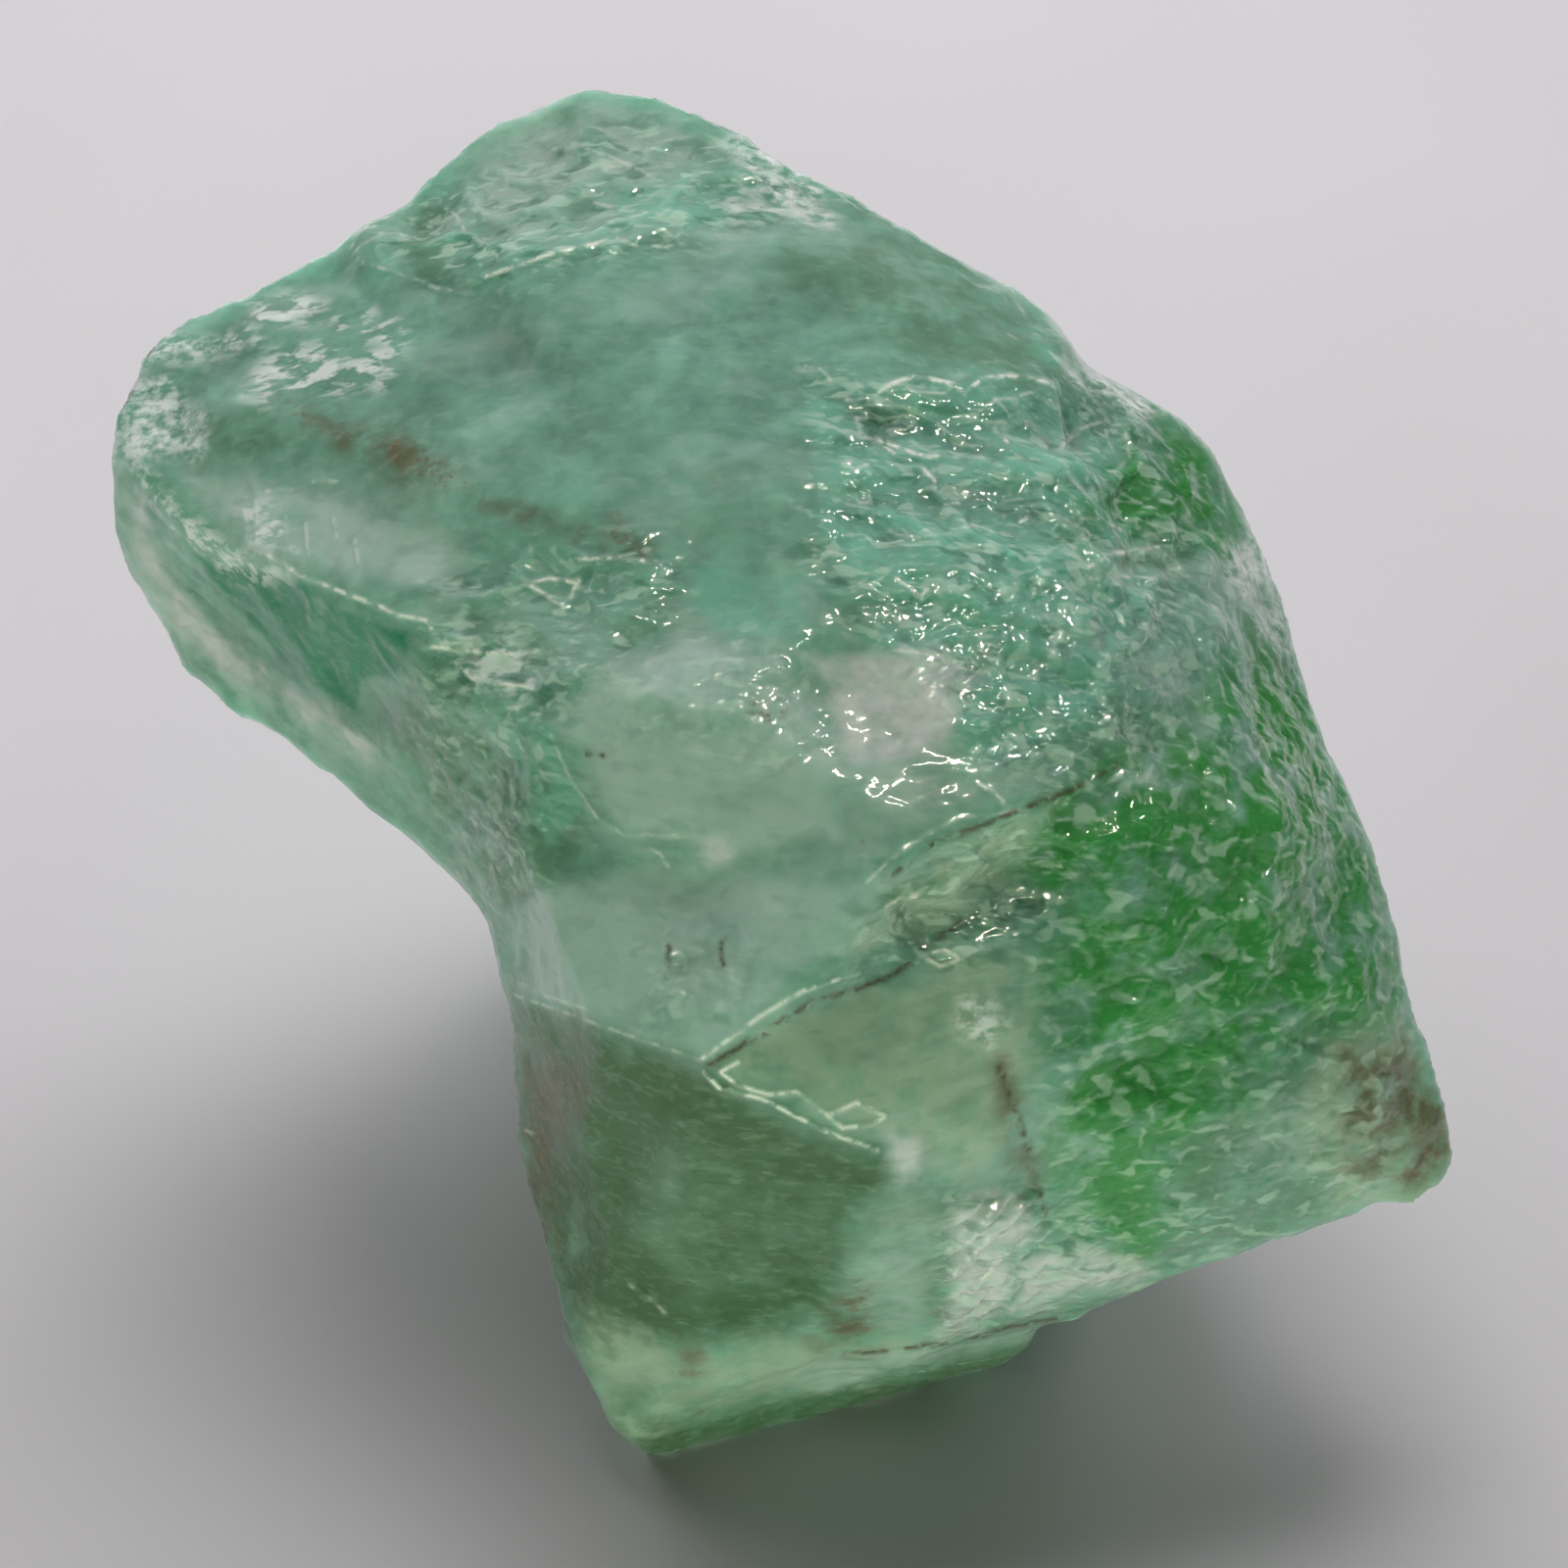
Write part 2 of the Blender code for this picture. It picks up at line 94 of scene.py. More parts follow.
# Areas of the seen side, each an outline in the photo's pixels
AREAS = {
    "vivid": {
        "right face": ((1069, 818), (1115, 790), (1215, 740), (1290, 640), (1345, 715), (1405, 880),
                       (1428, 1010), (1400, 1040), (1310, 1085), (1240, 1150), (1195, 1210),
                       (1185, 1290), (1120, 1290), (1078, 1200), (1066, 1110), (1070, 1000),
                       (1080, 930), (1040, 880)),
        "heart": ((1200, 860), (1290, 780), (1340, 830), (1330, 930), (1270, 1020), (1200, 1110),
                  (1110, 1050), (1120, 960)),
        "right shoulder": ((1180, 430), (1240, 455), (1285, 540), (1250, 570), (1180, 540),
                           (1110, 545), (1120, 500)),
    },
    # Partly painted shade: the front wall and the band under it face away from the lights and are
    # painted a darker olive, besides their own olive tint
    "olive_and_painted_shade": {
        "front wall": ((522, 1022), (595, 1042), (715, 1085), (775, 1124), (848, 1158), (905, 1178),
                       (925, 1205), (880, 1235), (862, 1290), (850, 1345), (700, 1375), (602, 1400),
                       (568, 1330), (520, 1150)),
        "band": ((600, 1440), (700, 1440), (880, 1405), (1030, 1360), (1100, 1345), (1040, 1420),
                 (850, 1500), (640, 1510)),
    },
    # Partly painted shade: darker green in the hollows, behind the ledge and on the shaded front wall,
    # besides murky tones of the stone
    "dusky_and_painted_shade": {
        "shoulder": ((800, 250), (880, 230), (1000, 275), (1060, 330), (1085, 368), (930, 368),
                     (870, 330), (790, 290)),
        "crown hollow": ((380, 240), (440, 215), (480, 290), (420, 280)),
        "lobe top": ((166, 418), (266, 425), (300, 455), (200, 480)),
        "wall shade": ((530, 1040), (600, 1060), (600, 1180), (540, 1180)),
        "wall column": ((880, 1240), (925, 1200), (975, 1235), (975, 1362), (850, 1362)),
        "inclusion": ((676, 958), (742, 955), (746, 1000), (716, 1036), (698, 1030), (680, 998)),
        "wall heart": ((660, 1160), (850, 1220), (850, 1310), (700, 1330), (640, 1250)),
        "neck": ((400, 690), (480, 700), (560, 770), (600, 850), (560, 930), (500, 930), (440, 850),
                 (395, 760)),
        "ledge back": ((1040, 840), (1150, 775), (1160, 820), (1060, 880)),
        "right foot": ((1200, 1160), (1312, 1082), (1380, 1050), (1400, 1130), (1380, 1250),
                       (1257, 1275), (1190, 1290)),
    },
    "grey": {
        "knob": ((480, 170), (540, 105), (640, 92), (740, 140), (700, 210), (600, 235), (500, 240)),
        "boss": ((562, 745), (605, 690), (700, 645), (800, 660), (845, 720), (862, 800), (850, 860),
                 (745, 875), (640, 850), (590, 800)),
        "lobe": ((170, 470), (330, 490), (480, 555), (460, 612), (330, 585), (230, 545)),
        "right foot": ((1260, 1170), (1330, 1100), (1400, 1050), (1390, 1120), (1330, 1200)),
        "wall column": ((885, 1250), (925, 1215), (955, 1260), (945, 1362), (860, 1362)),
        "chin top": ((850, 780), (1000, 760), (1060, 790), (960, 850), (870, 890)),
    },
    # Partly painted light: the wedge and the wall's foot are painted lighter to stand in for light
    # through the stone and from the floor, and the yellow patch by the right shoulder is a painted
    # highlight, besides a waxy grey-green tone
    "sage_and_painted_light": {
        "wedge": ((730, 1092), (800, 1045), (905, 1003), (1000, 960), (1060, 985), (1055, 1090),
                  (1030, 1150), (1000, 1215), (945, 1190), (900, 1160), (860, 1150), (790, 1115)),
        "ledge": ((870, 975), (905, 905), (985, 850), (1070, 820), (1060, 870), (1010, 915),
                  (930, 955)),
        "tip": ((1350, 1060), (1427, 1035), (1462, 1091), (1482, 1150), (1478, 1200), (1440, 1235),
                (1360, 1230), (1330, 1140)),
        "wall foot": ((590, 1345), (700, 1380), (880, 1365), (975, 1368), (900, 1395), (784, 1422),
                      (640, 1465), (610, 1440)),
        # Painted highlight: the yellowish patch where the glints lie
        "yellow glow": ((1095, 550), (1180, 545), (1195, 595), (1110, 605)),
    },
    "brown": {
        "tip": ((1375, 1075), (1440, 1060), (1485, 1130), (1478, 1200), (1440, 1225), (1370, 1190)),
        "wall left": ((530, 1075), (590, 1085), (595, 1140), (565, 1195), (540, 1210)),
        "wall foot": ((833, 1352), (876, 1300), (886, 1374), (835, 1374)),
        "wall streak": ((695, 1370), (722, 1372), (715, 1430), (690, 1425)),
        "seam": ((1012, 1085), (1022, 1080), (1036, 1115), (1058, 1235), (1046, 1235),
                 (1022, 1130)),
        "lobe crease": ((285, 405), (320, 415), (385, 442), (470, 482), (478, 500), (440, 498),
                        (380, 462), (300, 430)),
        "top crease": ((500, 515), (560, 530), (640, 540), (662, 568), (600, 552), (520, 530)),
    },
    "deep": {
        "lobe window": ((190, 555), (228, 578), (283, 587), (329, 600), (352, 623), (416, 646),
                        (414, 690), (368, 695), (364, 729), (329, 704), (295, 674), (260, 640),
                        (219, 600)),
        "lobe window heart": ((240, 590), (330, 610), (410, 655), (400, 690), (340, 695),
                              (280, 640)),
    },
    "clear": {
        "top window": ((690, 590), (750, 572), (810, 585), (830, 640), (740, 650)),
        "brow window": ((880, 630), (950, 608), (960, 655), (890, 665)),
        "pit floor": ((960, 485), (1030, 480), (1050, 510), (1020, 535), (970, 520)),
        "pit pool": ((1035, 440), (1075, 435), (1080, 470), (1040, 475)),
        "ring pool": ((1112, 445), (1145, 445), (1142, 472), (1115, 475)),
        "neck pool": ((500, 740), (560, 740), (600, 830), (560, 860)),
        "crown pool": ((600, 200), (700, 180), (740, 230), (660, 225)),
        "pit ground": ((830, 400), (1080, 395), (1150, 480), (1180, 600), (1120, 740), (1010, 780),
                       (960, 660), (840, 560)),
        "lip foot": ((960, 730), (1010, 690), (1030, 740), (990, 790)),
        "shoulder edge": ((1020, 320), (1060, 335), (1090, 370), (1050, 365)),
    },
    # Partly painted light: the chin, the boss and the band are painted paler to stand in for light
    # carried through the stone, besides pale tones of the stone
    "pale": {
        "chin": ((526, 930), (600, 890), (700, 890), (850, 905), (925, 880), (870, 960), (820, 1010),
                 (777, 1036), (716, 1078), (658, 1060), (530, 1012)),
        "boss": ((575, 745), (605, 700), (700, 655), (800, 670), (845, 740), (850, 850), (745, 870),
                 (640, 845)),
        "lobe": ((190, 490), (330, 505), (460, 560), (440, 600), (330, 575), (240, 540)),
        "lobe band": ((123, 500), (157, 560), (238, 675), (329, 735), (390, 780), (360, 775),
                      (250, 720), (160, 640), (125, 560)),
        "band": ((804, 1398), (880, 1385), (1025, 1360), (1070, 1351), (1035, 1368), (886, 1405),
                 (790, 1425)),
    },
    "frost": {
        "lobe tip": ((118, 400), (170, 385), (205, 425), (200, 465), (120, 470)),
        "lobe edge": ((140, 345), (253, 340), (230, 362), (130, 375)),
        "right edge": ((1248, 568), (1275, 545), (1296, 560), (1300, 612), (1262, 605)),
        "right edge foot": ((1290, 620), (1308, 625), (1312, 660), (1296, 650)),
        "shoulder edge": ((1090, 385), (1140, 385), (1190, 420), (1150, 425)),
        "knob rim": ((744, 145), (800, 152), (842, 192), (842, 222), (800, 215), (755, 180)),
        "brow flake": ((1158, 785), (1180, 785), (1180, 808), (1155, 805)),
        "seam flakes": ((980, 1020), (1010, 1020), (1028, 1045), (1010, 1070), (985, 1060)),
    },
    "veil": {
        "fracture": ((812, 664), (867, 668), (964, 666), (992, 690), (970, 765), (918, 776),
                     (871, 774), (855, 738), (838, 700)),
        "wall cloud": ((905, 1153), (940, 1153), (950, 1185), (920, 1212), (908, 1195)),
        "cleaved corner": ((976, 1230), (1010, 1212), (1046, 1232), (1060, 1255), (1028, 1282),
                           (1038, 1319), (994, 1357), (957, 1362), (974, 1295)),
        "cleaved foot": ((1040, 1285), (1120, 1270), (1180, 1300), (1080, 1325), (1030, 1340)),
        "lobe strip": ((140, 500), (160, 560), (195, 625), (238, 665), (329, 722), (380, 765),
                       (330, 738), (235, 685), (180, 640), (140, 560)),
        "boss cloud": ((718, 860), (735, 856), (748, 872), (735, 888), (716, 880)),
    },
    "streak": {
        "crown dash": ((256, 303), (326, 303), (326, 327), (256, 327)),
        "crown bars": ((339, 325), (408, 330), (408, 355), (345, 350)),
        "lobe bars": ((265, 352), (400, 356), (398, 388), (355, 405), (250, 400), (262, 370)),
        "knob dashes": ((744, 208), (845, 208), (845, 226), (744, 226)),
        "lobe ridge": ((136, 471), (163, 488), (185, 520), (240, 560), (300, 590), (230, 580),
                       (180, 545), (150, 505)),
        "lobe face": ((245, 516), (290, 520), (300, 560), (255, 550)),
        "neck top": ((440, 645), (550, 660), (545, 705), (475, 700)),
    },
    "rust": {
        "wall left": ((535, 1120), (560, 1130), (556, 1195), (540, 1195)),
        "wall left foot": ((545, 1200), (562, 1200), (570, 1290), (556, 1290)),
        "wall foot": ((868, 1300), (888, 1305), (886, 1372), (866, 1372)),
        "wall foot right": ((952, 1330), (970, 1330), (970, 1352), (952, 1352)),
        "wall streak": ((702, 1370), (718, 1372), (712, 1400), (700, 1400)),
        "lobe crease": ((290, 408), (312, 418), (320, 432), (300, 428)),
        "lobe crease middle": ((368, 440), (410, 446), (476, 484), (482, 500), (450, 500),
                               (400, 468)),
        "top crease": ((600, 535), (650, 548), (662, 570), (650, 570)),
        "boss stain": ((762, 712), (800, 714), (795, 735), (768, 732)),
        "tip": ((1455, 1125), (1478, 1135), (1474, 1180), (1440, 1222), (1432, 1210), (1455, 1165)),
    },
    "pit": {
        "top right": ((820, 378), (930, 384), (1100, 388), (1180, 440), (1230, 540), (1200, 640),
                      (1160, 760), (1000, 800), (960, 700), (870, 640), (810, 560), (840, 470)),
        "crown": ((430, 205), (620, 120), (760, 150), (850, 210), (700, 255), (500, 290), (370, 262)),
        "neck top": ((430, 600), (520, 560), (660, 545), (690, 600), (640, 680), (540, 740),
                     (440, 700)),
        "ledge": ((860, 985), (905, 905), (985, 850), (1080, 805), (1100, 860), (1060, 980),
                  (960, 990)),
        "cleaved corner": ((970, 1225), (1060, 1215), (1180, 1290), (1060, 1335), (960, 1360)),
    },
    "pebble": {
        "neck": ((420, 640), (560, 640), (600, 760), (560, 900), (500, 900), (440, 800)),
        "chin corner": ((640, 930), (760, 930), (780, 1040), (660, 1050)),
        "right face": ((1075, 770), (1250, 560), (1310, 600), (1420, 950), (1450, 1050),
                       (1400, 1230), (1180, 1310), (1080, 1260), (1040, 1000)),
        "brow": ((880, 560), (1240, 520), (1260, 640), (1150, 780), (1000, 800), (900, 680)),
        "boss": ((600, 640), (820, 640), (860, 760), (800, 800), (640, 760)),
    },
}

# Thin crests of the seen side, each a path in the photo's pixels: raised a little, and painted white
# along their tops as painted glints
CRESTS = {
    "front corner left": ((524, 1015), (595, 1040), (658, 1062), (715, 1081)),
    "front corner right": ((715, 1081), (777, 1036), (820, 1011), (876, 993)),
    "wedge edge": ((719, 1094), (733, 1110), (777, 1121), (812, 1139), (848, 1157), (895, 1173)),
    "wedge glint": ((753, 1084), (735, 1094), (753, 1108), (785, 1117), (812, 1114), (836, 1131),
                    (860, 1151), (891, 1147), (903, 1139), (874, 1125), (848, 1137)),
    "upper lip": ((864, 409), (887, 407), (913, 390), (932, 384), (956, 388), (973, 392), (985, 400),
                  (1000, 388), (1018, 384), (1046, 384), (1071, 391)),
    "lip leaf": ((913, 390), (935, 400), (964, 401), (973, 392)),
    "lip arc": ((997, 421), (1018, 407), (1030, 407), (1062, 397)),
    "lip dash": ((1005, 431), (1050, 431)),
    "lip drop": ((1015, 440), (1028, 450)),
    "lip tooth": ((822, 373), (835, 374), (848, 388)),
    "pit upper": ((866, 412), (920, 415), (948, 427), (973, 446), (993, 456)),
    "pit eye": ((873, 427), (907, 427), (924, 424), (934, 431), (924, 438), (905, 438)),
    "pit loop": ((873, 427), (879, 444), (895, 452), (920, 468), (942, 478), (954, 491), (952, 505),
                 (962, 511), (979, 513)),
    "pit branch": ((895, 448), (932, 462), (948, 466), (973, 464), (1001, 468), (1028, 480)),
    "pit foot": ((960, 521), (989, 535), (1013, 542), (1038, 547), (1050, 540)),
    "pit lens": ((858, 474), (872, 471), (885, 474), (872, 479), (858, 474)),
    "pit hook": ((860, 489), (877, 513), (889, 513), (887, 500)),
    "pit rim": ((877, 525), (899, 535), (916, 546), (940, 548), (969, 544)),
    "ring": ((1083, 456), (1103, 437), (1128, 429), (1148, 437), (1152, 468), (1134, 484)),
    "side glint": ((1095, 529), (1120, 530), (1144, 540)),
    "yellow glint": ((1112, 578), (1135, 565), (1160, 562), (1182, 558)),
    "yellow glint foot": ((1112, 590), (1145, 588), (1180, 590)),
    "brow dash": ((828, 560), (845, 563), (862, 566), (830, 567)),
    "brow star": ((915, 591), (928, 598), (940, 611), (946, 600)),
    "crown line": ((364, 259), (372, 269), (408, 279), (445, 294), (481, 300)),
    "crown lip": ((496, 282), (528, 271), (561, 259), (597, 251), (620, 246)),
    "crown loop": ((626, 236), (645, 229), (675, 234), (693, 246), (680, 252), (650, 251), (630, 243)),
    "crown hook": ((448, 209), (465, 219), (476, 239), (495, 247), (508, 262)),
    "crown dots": ((607, 207), (636, 214), (662, 217), (687, 221)),
    "knob arc": ((564, 152), (585, 148), (618, 158), (646, 170), (666, 180)),
    "knob rim dash": ((744, 217), (790, 214), (842, 213)),
    "lobe ridge": ((274, 567), (306, 587), (341, 601), (393, 621), (405, 628), (435, 633), (440, 641)),
    "lobe bar": ((262, 516), (262, 552)),
    "lobe bar left": ((250, 520), (251, 540)),
    "lobe bar next": ((290, 527), (292, 553)),
    "lobe bar middle": ((312, 534), (314, 570)),
    "lobe bar far": ((340, 530), (344, 548)),
    "lobe bar last": ((362, 552), (366, 578)),
    "cleaved step": ((975, 1300), (1010, 1262)),
    "cleaved step low": ((985, 1325), (1025, 1280)),
    "cleaved step top": ((1000, 1250), (1020, 1228)),
    "cleaved step left": ((965, 1280), (985, 1255)),
    "cleaved step foot": ((1005, 1340), (1035, 1305)),
    "chin edge": ((526, 1000), (560, 1018), (600, 1030)),
    "lobe glint": ((272, 501), (297, 500)),
    "lobe glint right": ((320, 492), (343, 491)),
    "boss rim": ((562, 750), (581, 793), (610, 835), (636, 851), (695, 853)),
    "boss tooth": ((664, 866), (674, 872), (682, 884)),
    "neck glint": ((442, 660), (490, 665), (520, 668), (547, 664)),
    "neck branch": ((467, 677), (484, 694), (514, 698), (543, 702)),
    "neck hook": ((549, 720), (518, 722), (549, 729)),
    "neck triangle": ((535, 595), (560, 590), (589, 595), (575, 618), (540, 597)),
    "crease glint": ((585, 572), (620, 568), (657, 572)),
    "brow line": ((915, 664), (940, 666), (968, 675), (977, 662)),
    "brow eye": ((977, 680), (995, 664), (1020, 666), (1023, 680), (1000, 687), (977, 680)),
    "lip end": ((998, 799), (1010, 806), (1023, 818)),
    "lower lip": ((1048, 826), (977, 835), (930, 862), (905, 881), (880, 905)),
    "ledge glint": ((905, 925), (918, 918), (935, 915)),
    "ledge eye": ((937, 973), (964, 969), (981, 978), (960, 986), (937, 973)),
    "cleaved rim": ((1061, 1252), (1040, 1272), (1018, 1288)),
    "wall line": ((642, 1311), (660, 1322), (678, 1339)),
    "wall dash": ((536, 1153), (545, 1158)),
}

# The crests that are raised highest and painted brightest, as painted glints
BRIGHT = ("front corner right", "wedge edge", "wedge glint", "upper lip", "lip drop", "pit loop",
          "pit branch", "yellow glint", "crown lip", "lobe ridge", "neck glint", "neck branch",
          "crease glint", "ledge glint", "ledge eye", "cleaved step", "cleaved step low",
          "cleaved step top", "lip end", "brow star", "neck triangle")

# Dark hairlines of the seen side, each a path in the photo's pixels: cracks, inclusions, specks and
# stains, and painted shade in the creases under the lip and behind the ledge
SEAMS = {
    "shade under the lip": ((722, 1088), (797, 1043), (828, 1023), (880, 1007), (911, 995), (974, 947),
                      (998, 930)),
    "ledge back": ((902, 899), (951, 862), (1024, 833), (1089, 808), (1140, 781)),
    "brown seam": ((1014, 1074), (1030, 1113), (1050, 1177), (1066, 1238)),
    "lower edge": ((862, 1384), (882, 1380), (988, 1368), (1025, 1355), (1086, 1344)),
    "inclusion left": ((683, 965), (682, 995)),
    "inclusion right": ((736, 960), (738, 985)),
    "speck": ((599, 769), (601, 770)),
    "speck right": ((614, 771), (615, 771)),
    "tip streak": ((1468, 1132), (1459, 1169), (1432, 1215)),
    "hairline": ((882, 860), (878, 870)),
    "wall edge": ((545, 1208), (552, 1240), (560, 1275)),
}

# Faces with parallel cleavage steps: outline in photo pixels, way across the steps in degrees,
# pitch and height in mm
STEPS = {
    "lobe band": (((120, 480), (200, 560), (290, 660), (400, 770), (330, 770), (200, 690), (130, 570)),
                  -50.0, 0.8, 0.05),
    "neck": (((420, 700), (480, 740), (560, 870), (530, 930), (480, 880), (430, 800)), 70.0, 0.7, 0.07),
    "cleaved corner": (((975, 1225), (1060, 1215), (1070, 1300), (1040, 1345), (960, 1350)),
                       48.0, 0.8, 0.4),
    "cleaved foot": (((1060, 1240), (1180, 1240), (1200, 1300), (1060, 1340)), 60.0, 1.1, 0.16),
    "band": (((640, 1480), (800, 1420), (1000, 1370), (1120, 1330), (1080, 1400), (800, 1490)),
             78.0, 1.5, 0.16),
}

# Each zone: how soft its edge is in mm, and how it spreads over the sides that the photo hides:
# size of its patches in mm, seed, low and high cut, most strength
ZONES = {
    "vivid": (1.6, 21.0, 71.0, 0.0, 0.35, 1.0),
    "olive_and_painted_shade": (1.3, 17.0, 73.0, 0.05, 0.4, 1.0),
    "dusky_and_painted_shade": (1.0, 10.0, 77.0, 0.1, 0.45, 1.0),
    "grey": (1.2, 12.0, 79.0, 0.1, 0.4, 1.0),
    "sage_and_painted_light": (0.9, 11.0, 113.0, 0.2, 0.5, 1.0),
    "brown": (0.9, 8.0, 81.0, 0.3, 0.5, 1.0),
    "deep": (0.25, 9.0, 83.0, 0.25, 0.5, 1.0),
    "clear": (0.5, 7.0, 87.0, 0.2, 0.45, 1.0),
    "pale": (0.6, 14.0, 89.0, 0.1, 0.45, 1.0),
    "veil": (0.5, 7.0, 95.0, 0.4, 0.5, 1.0),
    "frost": (0.7, 6.0, 97.0, 0.35, 0.6, 0.7),
    "streak": (0.7, 8.0, 101.0, 0.15, 0.5, 1.0),
    "rust": (0.35, 7.0, 103.0, 0.4, 0.55, 1.0),
    "pit": (1.2, 15.0, 107.0, -0.1, 0.3, 1.0),
    "pebble": (1.2, 16.0, 109.0, -0.2, 0.2, 1.0),
}


class StoneSettings(bpy.types.PropertyGroup):
    """Sizes and colours of the stone."""

    grain: bpy.props.FloatProperty(
        name="Grain", description="Length of a mesh edge before thinning", default=0.23 * MM,
        unit="LENGTH")
    triangles: bpy.props.IntProperty(
        name="Triangles", description="Most triangles that the stone may have", default=190000)
    pit_depth: bpy.props.FloatProperty(
        name="Pit depth", description="Depth of the etched pits", default=0.24 * MM, unit="LENGTH")
    crest_height: bpy.props.FloatProperty(
        name="Crest height", description="Height of the thin glinting crests", default=0.09 * MM,
        unit="LENGTH")
    glow: bpy.props.FloatProperty(
        name="Glow depth", description="How deep light wanders in the stone", default=4.0 * MM,
        unit="LENGTH")
    body: bpy.props.StringProperty(
        name="Body", description="Colour of the milky teal body", default="#7DAC97")
    vivid: bpy.props.StringProperty(
        name="Vivid", description="Colour of the clear green right face", default="#3E9145")
    # Partly painted shade: the darker olive of the front wall and band in shade, besides their own
    # olive tint
    olive_and_painted_shade: bpy.props.StringProperty(
        name="Olive", description="Colour of the stained green walls", default="#3D6336")
    # Partly painted shade in the hollows and on the shaded wall; the murk layer also takes it as a
    # random murky tone
    dusky_and_painted_shade: bpy.props.StringProperty(
        name="Dusky", description="Colour of the murky green hollows", default="#668A6F")
    grey: bpy.props.StringProperty(
        name="Grey", description="Colour of the greyish veils", default="#A9C0B2")
    # Partly painted light on the wedge and the wall's foot, and a painted highlight by the right
    # shoulder
    sage_and_painted_light: bpy.props.StringProperty(
        name="Sage", description="Colour of the waxy grey-green faces", default="#A6BCA2")
    brown: bpy.props.StringProperty(
        name="Brown", description="Colour of the tan tint round the stains", default="#675F45")
    deep: bpy.props.StringProperty(
        name="Deep", description="Colour of the clear deep windows", default="#1F8560")
    # Partly painted light on the front faces; the milk layer also takes it for random milky patches
    pale: bpy.props.StringProperty(
        name="Pale", description="Colour of the pale smooth faces", default="#B7D0C4")
    clear: bpy.props.StringProperty(
        name="Clear", description="Colour of the bluish clear spots on top", default="#7DBFA6")
    frost: bpy.props.StringProperty(
        name="Frost", description="Colour of the white bruised patches", default="#EEF2EF")
    rust: bpy.props.StringProperty(
        name="Rust", description="Colour of the iron stains", default="#7C5B40")


class StageSettings(bpy.types.PropertyGroup):
    """Floor, light and camera."""

    floor: bpy.props.StringProperty(
        name="Floor", description="Colour of the floor", default="#D2D0D3")
    soft_power: bpy.props.FloatProperty(
        name="Soft light", description="Power of the large soft light", default=1.60, unit="POWER")
    side_power: bpy.props.FloatProperty(
        name="Side lights", description="Power that the lights behind the sides are set by",
        default=0.40, unit="POWER")
    fill_power: bpy.props.FloatProperty(
        name="Fill light", description="Power of the low light in front", default=1.2, unit="POWER")
    glint_power: bpy.props.FloatProperty(
        name="Glint light", description="Power of the small warm lights", default=0.8, unit="POWER")
    air: bpy.props.FloatProperty(
        name="Air", description="Strength of the even light from all round", default=0.012)
    sky: bpy.props.FloatProperty(
        name="Sky", description="Strength of the wide light from above and behind", default=0.05)


def linear(hex_colour):
    """Turns an sRGB hex colour into the linear one that nodes take."""
    parts = [int(hex_colour[place:place + 2], 16) / 255 for place in (1, 3, 5)]
    return (*[part / 12.92 if part <= 0.04045 else ((part + 0.055) / 1.055) ** 2.4
              for part in parts], 1.0)


def ramp(value, low, high):
    """Rises smoothly from 0 at low to 1 at high."""
    share = np.clip((value - low) / (high - low), 0.0, 1.0)
    return share * share * (3.0 - 2.0 * share)


def cloud(points, size, seed=0.0):
    """Smooth noise from about -1 to 1, with lumps of the given size in mm."""
    return np.array([noise.noise(Vector(point)) for point in points / size + seed])


class Skin:
    """The places and normals of a mesh's vertices, in mm and as the photo sees them."""

    def __init__(self, mesh):
        count = len(mesh.vertices)
        flat = np.empty(count * 3)
        mesh.vertices.foreach_get("co", flat)
        self.at = flat.reshape(-1, 3) / MM
        mesh.vertex_normals.foreach_get("vector", flat)
        self.normal = flat.reshape(-1, 3).copy()
        arm = self.at - np.array(AIM)
        depth = 1.0 - arm @ np.array(OUT_WAY) / REACH
        self.across = PHOTO_PIXELS / 2 + arm[:, 0] / depth / PIXEL
        self.down = PHOTO_PIXELS / 2 - arm @ np.array(UP_WAY) / depth / PIXEL
        to_camera = np.array(AIM + OUT_WAY * REACH) - self.at
        to_camera /= np.linalg.norm(to_camera, axis=1)[:, None]
        self.seen = ramp(np.sum(self.normal * to_camera, axis=1), -0.05, 0.12)

    def gap_to(self, path, closed=False):
        """Distance from each vertex to a path, in photo pixels."""
        ends = path[1:] + path[:1] if closed else path[1:]
        best = np.full(len(self.across), 1e9)
        for (x0, y0), (x1, y1) in zip(path, ends):
            run = np.array((x1 - x0, y1 - y0), dtype=float)
            along = ((self.across - x0) * run[0] + (self.down - y0) * run[1]) / (run @ run)
            along = np.clip(along, 0.0, 1.0)
            gap = np.hypot(self.across - x0 - along * run[0], self.down - y0 - along * run[1])
            best = np.minimum(best, gap)
        return best

    def within(self, outline):
        """1 for each vertex inside a closed outline, else 0."""
        inside = np.zeros(len(self.across), dtype=bool)
        for (x0, y0), (x1, y1) in zip(outline, outline[1:] + outline[:1]):
            if y0 == y1:
                continue
            spans = (y0 > self.down) != (y1 > self.down)
            inside ^= spans & (self.across < (x1 - x0) * (self.down - y0) / (y1 - y0) + x0)
        return inside

    def share_of(self, outlines, soft, ragged):
        """How far each vertex lies inside any of the outlines, with a soft ragged edge in mm."""
        best = np.zeros(len(self.across))
        for outline in outlines.values():
            gap = self.gap_to(outline, closed=True) * PIXEL
            depth = np.where(self.within(outline), gap, -gap) + ragged
            best = np.maximum(best, ramp(depth, -soft, soft))
        return best


